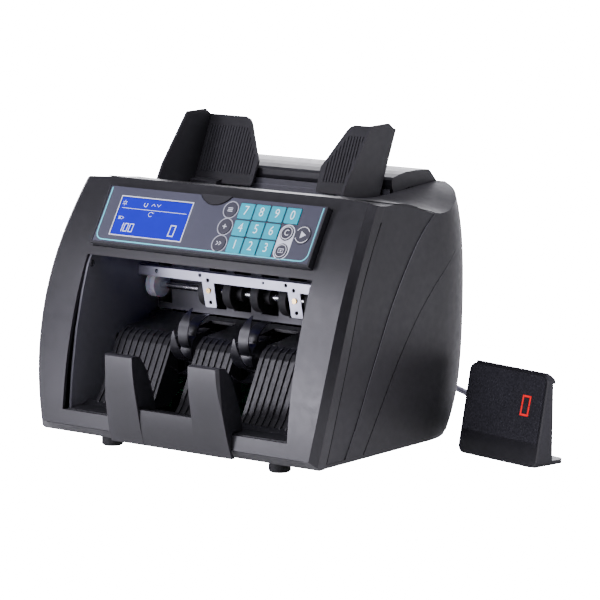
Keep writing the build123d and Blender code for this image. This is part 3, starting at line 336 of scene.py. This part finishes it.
def flat_mesh(name, polys, place, depth):
    """Thin raised prints: each poly is a list of (x, s); holes are not used."""
    bm = bmesh.new()
    for pts in polys:
        lo = [bm.verts.new(place(x, s, 0.0)) for x, s in pts]
        hi = [bm.verts.new(place(x, s, depth)) for x, s in pts]
        bm.faces.new(hi)
        bm.faces.new(lo[::-1])
        k = len(pts)
        for i in range(k):
            j = (i + 1) % k
            bm.faces.new((lo[i], lo[j], hi[j], hi[i]))
    bmesh.ops.recalc_face_normals(bm, faces=bm.faces)
    me = bpy.data.meshes.new(name)
    bm.to_mesh(me)
    bm.free()
    return bpy.data.objects.new(name, me)


def band(path, width, closed=False):
    """Quads following a centre line of (x, s) points."""
    polys = []
    n = len(path)
    rng = range(n if closed else n - 1)
    left, right = [], []
    for i in range(n):
        a = Vector(path[(i - 1) % n]) if (closed or i > 0) else Vector(path[i])
        b = Vector(path[(i + 1) % n]) if (closed or i < n - 1) else Vector(path[i])
        d = (b - a).normalized()
        nrm = Vector((-d.y, d.x))
        p = Vector(path[i])
        left.append(p + nrm * width / 2)
        right.append(p - nrm * width / 2)
    for i in rng:
        j = (i + 1) % n
        polys.append([tuple(left[i]), tuple(left[j]), tuple(right[j]), tuple(right[i])])
    return polys


def arc(cx, cs, r, a0, a1, n):
    return [(cx + r * math.cos(math.radians(a0 + (a1 - a0) * i / n)), cs + r * math.sin(math.radians(a0 + (a1 - a0) * i / n))) for i in range(n + 1)]


def ring_polys(cx, cs, r, w, n=48, a0=0.0, a1=360.0):
    pts = arc(cx, cs, r, a0, a1, n)
    full = abs(a1 - a0) >= 359.9
    if full:
        pts = pts[:-1]
    return band(pts, w, closed=full)


def text_mesh(name, body, txt, x, s, size, place_m, mat, depth=0.05, width=1.0, bold=0.0, align="CENTER", shear=0.0):
    cu = bpy.data.curves.new(name, "FONT")
    cu.body = txt
    cu.size = size * MM
    cu.align_x = align
    cu.align_y = "CENTER"
    cu.extrude = depth * MM / 2
    cu.offset = bold * MM
    cu.shear = shear
    cu.resolution_u = 6
    tmp = bpy.data.objects.new(name + "_tmp", cu)
    bpy.context.scene.collection.objects.link(tmp)
    dg = bpy.context.evaluated_depsgraph_get()
    me = bpy.data.meshes.new_from_object(tmp.evaluated_get(dg))
    bpy.data.objects.remove(tmp)
    me.name = name
    me.transform(Matrix.Diagonal((width, 1, 1, 1)))
    me.transform(place_m)
    me.materials.clear()
    ob = bpy.data.objects.new(name, me)
    return link(ob, body, mat)


def panel_matrix(x, s, n):
    return Matrix.Translation(panel_point(x, s, n)) @ PANEL_M


# ------------------------------------------------------- control panel prints
TOP_N = -0.5          # outer face of the overlay film
# cyan frame line, open at the top
line = [(-109.0, 49.4), (-109.0, 10.0)] + arc(-102.0, 10.0, 7.0, 180, 270, 10) + arc(102.0, 10.0, 7.0, 270, 360, 10) + [(109.0, 10.0), (109.0, 49.4)]
ob = flat_mesh("panel_line", band(line, 1.0), lambda x, s, n: panel_point(x, s, TOP_N + 0.01 + n), 0.05)
link(ob, "chassis", INK_CYAN)
# pale frame round the screen
fr = [(-95.9, 7.9), (-20.4, 7.9), (-20.4, 42.7), (-95.9, 42.7)]
ob = flat_mesh("screen_frame", [[(-96.3, 7.5), (-20.0, 7.5), (-20.0, 8.4), (-96.3, 8.4)], [(-96.3, 42.2), (-20.0, 42.2), (-20.0, 43.1), (-96.3, 43.1)],
                                [(-96.3, 8.4), (-95.4, 8.4), (-95.4, 42.2), (-96.3, 42.2)], [(-20.9, 8.4), (-20.0, 8.4), (-20.0, 42.2), (-20.9, 42.2)]],
               lambda x, s, n: panel_point(x, s, TOP_N + 0.01 + n), 0.09)
link(ob, "chassis", INK_FRAME)
# rings round the small round keys
polys = []
for cx, cs, r in ((19.0, 40.0, 7.15), (19.0, 25.2, 7.15), (19.0, 10.4, 7.15)):
    polys += ring_polys(cx, cs, r + 0.05, 0.85)
ob = flat_mesh("key_rings", polys, lambda x, s, n: panel_point(x, s, TOP_N + 0.01 + n), 0.05)
link(ob, "chassis", INK_GREY)


def seven_seg(name, body, digits, x, s, w, h, t, place, mat, slant=0.0, gap=0.0, depth=0.05):
    """Seven-segment figures, lower left corner of the first at (x, s)."""
    SEG = {"0": "abcdef", "1": "bc", "2": "abged", "3": "abgcd", "4": "fgbc", "5": "afgcd", "6": "afgedc", "7": "abc", "8": "abcdefg", "9": "abcdfg"}
    polys = []
    for k, ch in enumerate(digits):
        x0 = x + k * (w + gap)
        e = t * 0.12
        seg = {
            "a": [(e + t, h), (w - e - t, h), (w - e - t, h - t), (e + t, h - t)],
            "d": [(e + t, 0), (w - e - t, 0), (w - e - t, t), (e + t, t)],
            "g": [(e + t, h / 2 + t / 2), (w - e - t, h / 2 + t / 2), (w - e - t, h / 2 - t / 2), (e + t, h / 2 - t / 2)],
            "f": [(0, h), (t, h), (t, h / 2 + e), (0, h / 2 + e)],
            "e": [(0, 0), (t, 0), (t, h / 2 - e), (0, h / 2 - e)],
            "b": [(w - t, h), (w, h), (w, h / 2 + e), (w - t, h / 2 + e)],
            "c": [(w - t, 0), (w, 0), (w, h / 2 - e), (w - t, h / 2 - e)],
        }
        for c in SEG[ch]:
            polys.append([(x0 + px + slant * py, s + py) for px, py in seg[c]])
    ob = flat_mesh(name, polys, place, depth)
    return link(ob, body, mat)


LN = -0.7
lcd_place = lambda x, s, n: panel_point(x, s, LN + 0.01 + n)
ob = flat_mesh("lcd_rule", [[(-92.4, 32.1), (-24.0, 32.1), (-24.0, 32.5), (-92.4, 32.5)]], lcd_place, 0.03)
link(ob, "chassis", LCD_TXT)
seven_seg("lcd_count_left", "chassis", "100", -89.2, 11.6, 4.3, 7.6, 0.75, lcd_place, LCD_TXT, slant=0.06, gap=1.2, depth=0.03)
seven_seg("lcd_count_right", "chassis", "0", -36.2, 11.4, 6.0, 10.2, 0.9, lcd_place, LCD_TXT, slant=0.06, depth=0.03)
# small pictograms in place of words: lamp, magnet, arrows, battery
ic = []
ic += ring_polys(-91.0, 36.8, 1.25, 0.42, 20)
for k in range(6):
    a = math.radians(60 * k + 30)
    ic += band([(-91.0 + 1.8 * math.cos(a), 36.8 + 1.8 * math.sin(a)), (-91.0 + 2.5 * math.cos(a), 36.8 + 2.5 * math.sin(a))], 0.35)
ic += band([(-70.2, 38.2)] + arc(-68.6, 36.6, 1.6, 180, 360, 10) + [(-67.0, 38.2)], 0.6)
ic += band([(-62.4, 36.0), (-60.4, 38.2), (-58.4, 36.0)], 0.45) + band([(-57.0, 38.2), (-55.0, 36.0), (-53.0, 38.2)], 0.45)
ic += band(arc(-60.5, 28.8, 2.0, 40, 320, 16), 0.45) + band([(-59.4, 30.9), (-58.6, 29.6), (-57.4, 30.6)], 0.4)
ic += band([(-92.4, 22.4), (-88.0, 22.4), (-88.0, 24.6), (-92.4, 24.6)], 0.35, closed=True) + [[(-87.7, 23.0), (-87.1, 23.0), (-87.1, 24.0), (-87.7, 24.0)]] + [[(-91.9, 22.9), (-90.2, 22.9), (-90.2, 24.1), (-91.9, 24.1)]]
ob = flat_mesh("lcd_signs", ic, lcd_place, 0.03)
link(ob, "chassis", LCD_TXT)

# key caps: figures ride with their keys
KEY_N = 0.2
KEYS = {"7": (28.0, 33.3), "8": (43.6, 33.3), "9": (59.2, 33.3), "0": (74.8, 33.3), "4": (28.0, 18.4), "5": (43.6, 18.4), "6": (59.2, 18.4),
        "1": (28.0, 3.7), "2": (43.6, 3.7), "3": (59.2, 3.7)}
for k, (kx, ks) in KEYS.items():
    text_mesh("figure_" + k, "key_" + k, k, 0, 0, 11.2, panel_matrix(kx + 7.05, ks + 6.9, KEY_N + 0.02), INK_KEY, width=0.86)
# signs on the round keys
text_mesh("figure_clear", "key_clear", "C", 0, 0, 7.2, panel_matrix(81.8, 25.2, KEY_N + 0.02), INK_WHITE, width=0.9)


def key_place(x, s, n):
    return panel_point(x, s, KEY_N + 0.01 + n)


def key_print(name, body, polys, mat=None):
    ob = flat_mesh(name, polys, key_place, 0.04)
    return link(ob, body, mat or INK_GREY)


key_print("sign_mode", "key_mode", band([(16.6, 41.4), (21.4, 41.4)], 0.6) + band([(16.6, 40.0), (21.4, 40.0)], 0.6) + band([(16.6, 38.6), (21.4, 38.6)], 0.6), INK_FRAME)
key_print("sign_add", "key_add", [[(17.0, 24.85), (21.0, 24.85), (21.0, 25.55), (17.0, 25.55)], [(18.65, 25.56), (19.35, 25.56), (19.35, 27.2), (18.65, 27.2)], [(18.65, 23.2), (19.35, 23.2), (19.35, 24.84), (18.65, 24.84)]], INK_FRAME)
key_print("sign_speed", "key_speed", band([(16.4, 8.8), (18.4, 10.4), (16.4, 12.0)], 0.6) + band([(19.2, 8.8), (21.2, 10.4), (19.2, 12.0)], 0.6), INK_FRAME)
key_print("sign_batch", "key_batch", band([(79.4, 8.2), (84.2, 8.2), (84.2, 11.4), (79.4, 11.4)], 0.55, closed=True) + [[(81.2, 9.2), (82.4, 9.2), (82.4, 10.4), (81.2, 10.4)]], INK_FRAME)
key_print("sign_start", "key_start", [[(95.8, 21.9), (95.8, 28.1), (101.0, 25.0)]], INK_FRAME)
key_print("ring_clear", "key_clear", ring_polys(81.8, 25.2, 5.25, 0.5), INK_WHITE)
key_print("ring_batch", "key_batch", ring_polys(81.8, 9.8, 5.25, 0.5), INK_WHITE)
key_print("crescents_start", "key_start", sum([ring_polys(97.6, 25.0, 6.7 - 0.18 * i, 0.5, 20, 90 - 62 + 7 * i, 90 + 62 - 7 * i) + ring_polys(97.6, 25.0, 6.7 - 0.18 * i, 0.5, 20, 270 - 62 + 7 * i, 270 + 62 - 7 * i) for i in range(1)], []), INK_WHITE)
# pale capsule round the two keys
cap = []
outer = arc(81.8, 25.2, 7.5, 0, 180, 24) + arc(81.8, 9.8, 7.5, 180, 360, 24)
hole_hi = arc(81.8, 25.2, 6.5, 0, 180, 24)
# upper arch, lower arch and the web between them
cap += [[outer[i], outer[i + 1], hole_hi[i + 1], hole_hi[i]] for i in range(24)]
hole_lo = arc(81.8, 9.8, 6.5, 180, 360, 24)
cap += [[outer[25 + i], outer[26 + i], hole_lo[i + 1], hole_lo[i]] for i in range(24)]
N = 16
for sgn in (-1, 1):
    for i in range(N):
        s0, s1 = 9.8 + 15.4 * i / N, 9.8 + 15.4 * (i + 1) / N

        def inner(s):
            d = 0.0
            if abs(s - 9.8) < 6.5:
                d = max(d, math.sqrt(6.5 ** 2 - (s - 9.8) ** 2))
            if abs(s - 25.2) < 6.5:
                d = max(d, math.sqrt(6.5 ** 2 - (s - 25.2) ** 2))
            return d
        cap.append([(81.8 + sgn * 7.5, s0), (81.8 + sgn * 7.5, s1), (81.8 + sgn * inner(s1), s1), (81.8 + sgn * inner(s0), s0)])
ob = flat_mesh("key_capsule", cap, lambda x, s, n: panel_point(x, s, TOP_N + 0.01 + n), 0.05)
link(ob, "chassis", INK_FRAME)

# dark cross-head screws that hold the pocket lining
def cross_screw(name, x, y, z, r, h):
    """Domed head with a cross slot, standing off a side wall and facing inwards."""
    bm = bmesh.new()
    sgn = 1.0 if x < 0 else -1.0
    prof = [(r, 0.0), (r, h * 0.45), (r * 0.90, h * 0.78), (r * 0.62, h * 0.97), (r * 0.30, h)]
    seg = 32
    rings = []
    for rr, hh in prof:
        rings.append([bm.verts.new(W(x + sgn * hh, y + rr * math.cos(2 * math.pi * k / seg), z + rr * math.sin(2 * math.pi * k / seg))) for k in range(seg)])
    for a, b in zip(rings, rings[1:]):
        for k in range(seg):
            j = (k + 1) % seg
            bm.faces.new((a[k], a[j], b[j], b[k]))
    # the middle is sunk in the shape of the driver slot
    floor_ring = []
    for k in range(seg):
        t = 2 * math.pi * k / seg
        rr = r * (0.28 if (k % 8) in (0, 1, 7) else 0.12)
        floor_ring.append(bm.verts.new(W(x + sgn * h * 0.45, y + rr * math.cos(t), z + rr * math.sin(t))))
    for k in range(seg):
        j = (k + 1) % seg
        bm.faces.new((rings[-1][k], rings[-1][j], floor_ring[j], floor_ring[k]))
    bm.faces.new(floor_ring)
    bm.faces.new(rings[0][::-1])
    bmesh.ops.recalc_face_normals(bm, faces=bm.faces)
    me = bpy.data.meshes.new(name)
    bm.to_mesh(me)
    bm.free()
    for p in me.polygons:
        p.use_smooth = False
    return link(bpy.data.objects.new(name, me), "chassis", CASE_DARK)


LINER_X = 114.2
cross_screw("lining_screw_left", -LINER_X, 28.2, 147.6, 2.9, 1.4)
cross_screw("lining_screw_right", LINER_X, 28.2, 147.6, 2.9, 1.4)

# ------------------------------------------------------- lines on the flanks
SEAM = [(8.4, 15.0), (11.4, 46.6), (15.0, 68.2), (19.7, 89.7), (28.6, 122.6), (37.6, 148.2), (54.0, 178.7), (68.0, 199.2)]
STEP = [(33.0, 16.0), (43.0, 49.5), (50.5, 74.0), (60.3, 98.2), (74.0, 126.2), (90.3, 150.9), (109.4, 173.9), (124.0, 187.3), (131.0, 192.4)]


def smooth_line(pts, per=14):
    """Catmull-Rom curve through (y, z) points, with its direction."""
    res = []
    v = [Vector(p) for p in pts]
    v = [v[0] * 2 - v[1]] + v + [v[-1] * 2 - v[-2]]
    for i in range(1, len(v) - 2):
        p0, p1, p2, p3 = v[i - 1:i + 3]
        for k in range(per + (1 if i == len(v) - 3 else 0)):
            t = k / per
            q = 0.5 * ((2 * p1) + (p2 - p0) * t + (2 * p0 - 5 * p1 + 4 * p2 - p3) * t * t + (3 * p1 - p0 - 3 * p2 + p3) * t ** 3)
            d = 0.5 * ((p2 - p0) + 2 * (2 * p0 - 5 * p1 + 4 * p2 - p3) * t + 3 * (3 * p1 - p0 - 3 * p2 + p3) * t * t)
            res.append((q, d.normalized()))
    return res


TREES = {}


def flank_x(node, side, y, z):
    """Outer surface of a case piece at that height, in metres from the middle plane of the frame."""
    if node not in TREES:
        me = NODES[node].data
        TREES[node] = BVHTree.FromPolygons([v.co for v in me.vertices], [tuple(p.vertices) for p in me.polygons])
    a = W(side * 190.0, y, z)
    hit = TREES[node].ray_cast(a, Vector((-side, 0, 0)), 0.12)
    return None if hit[0] is None else hit[0].x


def flank_strip(name, mat, curve, node, side, off0, off1, lift, depth, taper=False):
    """Thin strip that follows a line on the flank, crowned across its width."""
    bm = bmesh.new()
    rows = []
    n = len(curve)
    for i, (q, d) in enumerate(curve):
        f = 1.0
        if taper:
            f = max(0.12, min(1.0, 4.5 * i / n, 4.5 * (n - 1 - i) / n))
        nrm = Vector((d.y, -d.x))          # towards the back of the machine
        cols = []
        base = None
        for off in (off0, off1):
            w = off0 + (off - off0) * f
            p = q + nrm * w
            px = flank_x(node, side, q.x + nrm.x * (abs(off1) + 1.0), q.y + nrm.y * (abs(off1) + 1.0))
            if px is None:
                break
            cols.append((p, px))
        if len(cols) < 2:
            continue
        rows.append([bm.verts.new((x + side * h * MM, (p.x - SY) * MM, p.y * MM)) for (p, x), h in ((cols[0], -depth), (cols[0], lift * 0.6), (((cols[0][0] + cols[1][0]) / 2, (cols[0][1] + cols[1][1]) / 2), lift), (cols[1], lift * 0.6), (cols[1], -depth))])
    for a, b in zip(rows, rows[1:]):
        for k in range(5):
            j = (k + 1) % 5
            bm.faces.new((a[k], a[j], b[j], b[k]))
    bm.faces.new(rows[0][::-1])
    bm.faces.new(rows[-1])
    bmesh.ops.recalc_face_normals(bm, faces=bm.faces)
    me = bpy.data.meshes.new(name)
    bm.to_mesh(me)
    bm.free()
    return link(bpy.data.objects.new(name, me), "chassis", mat)


for sd, tag in ((1, "right"), (-1, "left")):
    # painted shade: a black strip in the joint between the front bezel and the side panel stands in for the shade in
    # the gap
    flank_strip("joint_shade_strip_" + tag, SHADE_BLACK, smooth_line(SEAM), tag + "_side_panel", sd, -0.45, 1.15, 0.42, 1.5)
    # painted highlight: a light strip along the rear shell's edge where it stands over the side panel
    flank_strip("edge_highlight_strip_" + tag, EDGE_HIGHLIGHT, smooth_line(STEP), "rear_shell", sd, 0.12, 0.70, 0.10, 0.3, taper=True)

# --------------------------------------------- painted shade: dark sheet behind the fan slots
bm = bmesh.new()
fv = [bm.verts.new(W(x, y, z)) for x in (-41.0, 41.0) for y, z in ((229.9, 77.0), (231.0, 77.0), (232.5, 131.0), (231.4, 131.0))]
for f in ((0, 1, 2, 3), (7, 6, 5, 4), (0, 4, 5, 1), (1, 5, 6, 2), (2, 6, 7, 3), (3, 7, 4, 0)):
    bm.faces.new([fv[i] for i in f])
bmesh.ops.recalc_face_normals(bm, faces=bm.faces)
shade_sheet_me = bpy.data.meshes.new("vent_shade_sheet")
bm.to_mesh(shade_sheet_me)
bm.free()
link(bpy.data.objects.new("vent_shade_sheet", shade_sheet_me), "chassis", SHADE_BLACK)

# ------------------------------------------------------------ customer display
PSI = math.radians(-12.0)
DISP = (155.4, 168.5)
D_ANG = math.atan2(14.6, 73.0)


def disp_point(x, s, n):
    """x along the face plate, s up it, n out of it (all mm)."""
    ly = s * math.sin(D_ANG) - n * math.cos(D_ANG)
    lz = 0.5 + s * math.cos(D_ANG) + n * math.sin(D_ANG)
    return W(DISP[0] + x * math.cos(PSI) - ly * math.sin(PSI), DISP[1] + x * math.sin(PSI) + ly * math.cos(PSI), lz)


seven_seg("display_count", "chassis", "0", 64.2, 39.6, 9.4, 16.6, 1.5, lambda x, s, n: disp_point(x, s, -0.07 + n), LED_RED, slant=0.05, depth=0.04)

# ---------------------------------------------------------------- the cord
ROUTE_A = [(53.5, 244.3, 39.0), (53.7, 256.3, 38.2), (57.8, 267.2, 35.4), (65.8, 275.7, 31.6), (76.4, 280.9, 27.4),
           (88.4, 282.2, 23.0), (101.6, 280.2, 18.4), (116.8, 275.9, 13.2), (132.6, 271.9, 7.4), (149.6, 270.0, 4.2)]
COIL = (152.4, 240.7)
R_OUT, R_IN = 29.2, 24.0
turns = []
PER = 16
total = int(5.25 * PER)
for i in range(1, total):
    t = i / PER
    a = math.radians(90.0 - 360.0 * t)

    def ease(x):
        x = max(0.0, min(1.0, x))
        return x * x * (3 - 2 * x)
    r = R_OUT + (R_IN - R_OUT) * (ease((t - 0.8) / 0.4) - ease((t - 2.8) / 0.4))
    z = 4.2 - 1.6 * ease(t / 0.5) + 5.2 * ease((t - 1.8) / 0.4) + 5.2 * ease((t - 3.8) / 0.4)
    r /= math.cos(math.pi / PER)
    turns.append((COIL[0] + r * math.cos(a), COIL[1] + r * math.sin(a), z))
ca, sa = math.cos(PSI), math.sin(PSI)
ROUTE_B = [(COIL[0] + R_OUT, 238.0, 13.2), (COIL[0] + R_OUT - 0.4, 223.0, 14.0), (178.6, 210.0, 16.2), (175.0, 198.5, 19.0),
           (DISP[0] + 12.0 * ca - 19.6 * sa, DISP[1] + 12.0 * sa + 19.6 * ca, 20.0)]
pts = ROUTE_A + turns + ROUTE_B
cu = bpy.data.curves.new("display_cord", "CURVE")
cu.dimensions = "3D"
sp = cu.splines.new("NURBS")
sp.points.add(len(pts) - 1)
for p, q in zip(sp.points, pts):
    v = W(*q)
    p.co = (v.x, v.y, v.z, 1.0)
sp.order_u = 3
sp.use_endpoint_u = True
sp.resolution_u = 8
cu.bevel_depth = 2.6 * MM
cu.bevel_resolution = 6
cu.use_fill_caps = True
cord = bpy.data.objects.new("display_cord", cu)
bpy.context.scene.collection.objects.link(cord)
cu.materials.append(CORD)
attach(cord, "chassis")
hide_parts("cord_to_coil", "cord_coil", "cord_to_display")

# ------------------------------------------------------------------ the stage
floor_me = bpy.data.meshes.new("floor")
bm = bmesh.new()
bmesh.ops.create_grid(bm, x_segments=2, y_segments=2, size=6.0)
bm.to_mesh(floor_me)
bm.free()
floor = bpy.data.objects.new("floor", floor_me)
bpy.context.scene.collection.objects.link(floor)
m, nt, b = new_mat("floor")
v = coords(nt)
nt.links.new(ramp(nt, noise(nt, v, 3.0), [(0.3, (0.80, 0.80, 0.80)), (0.7, (0.82, 0.82, 0.82))]), b.inputs["Base Color"])
b.inputs["Roughness"].default_value = 0.8
b.inputs["Specular IOR Level"].default_value = 0.2
# the paper sweep is lit from behind, so it stays pale in the picture without lighting the case from below
lp = nt.nodes.new("ShaderNodeLightPath")
ml = nt.nodes.new("ShaderNodeMath")
ml.operation = "MULTIPLY"
ml.inputs[1].default_value = 26.0
nt.links.new(lp.outputs["Is Camera Ray"], ml.inputs[0])
mg = nt.nodes.new("ShaderNodeMath")
mg.operation = "MULTIPLY_ADD"
mg.inputs[1].default_value = 0.40
nt.links.new(lp.outputs["Is Glossy Ray"], mg.inputs[0])
nt.links.new(ml.outputs[0], mg.inputs[2])
nt.links.new(mg.outputs[0], b.inputs["Emission Strength"])
b.inputs["Emission Color"].default_value = (0.97, 0.96, 1.0, 1)
floor.data.materials.append(m)

world = bpy.data.worlds.new("world")
bpy.context.scene.world = world
world.use_nodes = True
wt = world.node_tree
bg = wt.nodes["Background"]
bg.inputs["Color"].default_value = (0.96, 0.95, 1.0, 1.0)
# a dark flag stands to the right of the front, so the room dims towards it
wc = wt.nodes.new("ShaderNodeTexCoord")
wd = wt.nodes.new("ShaderNodeVectorMath")
wd.operation = "DOT_PRODUCT"
wd.inputs[1].default_value = (0.757, -0.60, 0.26)
wt.links.new(wc.outputs["Generated"], wd.inputs[0])
wr = wt.nodes.new("ShaderNodeMapRange")
wr.interpolation_type = "SMOOTHSTEP"
wr.inputs["From Min"].default_value = 0.62
wr.inputs["From Max"].default_value = 0.93
wr.inputs["To Min"].default_value = 0.28
wr.inputs["To Max"].default_value = 0.012
wt.links.new(wd.outputs["Value"], wr.inputs["Value"])
wt.links.new(wr.outputs["Result"], bg.inputs["Strength"])


def area(name, loc, target, w, h, power, col=(1, 1, 1)):
    ld = bpy.data.lights.new(name, "AREA")
    ld.shape = "RECTANGLE"
    ld.size, ld.size_y = w, h
    ld.energy = power
    ld.color = col
    lo = bpy.data.objects.new(name, ld)
    bpy.context.scene.collection.objects.link(lo)
    lo.location = loc
    lo.visible_camera = False
    d = Vector(target) - Vector(loc)
    lo.rotation_euler = d.to_track_quat("-Z", "Y").to_euler()
    return lo


TINT = (0.90, 0.875, 1.0)
area("soft_strip", (-0.30, -0.60, 0.13), (0.0, -0.10, 0.09), 0.26, 0.24, 2.9, TINT)
area("soft_low", (-0.36, -0.62, 0.085), (0.0, -0.133, 0.07), 0.10, 0.08, 0.6, TINT)
area("soft_pocket", (-0.27, -0.40, 0.31), (0.02, -0.075, 0.07), 0.20, 0.11, 0.45, TINT)
area("soft_front", (0.2, -1.0, 1.7), (0.0, 0.0, 0.1), 1.1, 1.1, 21.0, TINT)
area("soft_high", (-0.36, -0.56, 0.42), (0.06, -0.09, 0.13), 0.16, 0.12, 1.3, TINT)
area("soft_top", (0.1, 0.25, 1.7), (0.0, 0.0, 0.1), 1.3, 1.3, 16.0, TINT)
area("white_back", (-1.5, 2.2, 0.75), (0.0, 0.0, 0.15), 3.2, 1.5, 100.0, (0.95, 0.94, 1.0))
area("soft_right", (1.9, 0.9, 0.9), (0.1, 0.0, 0.1), 0.9, 0.9, 14.0, TINT)
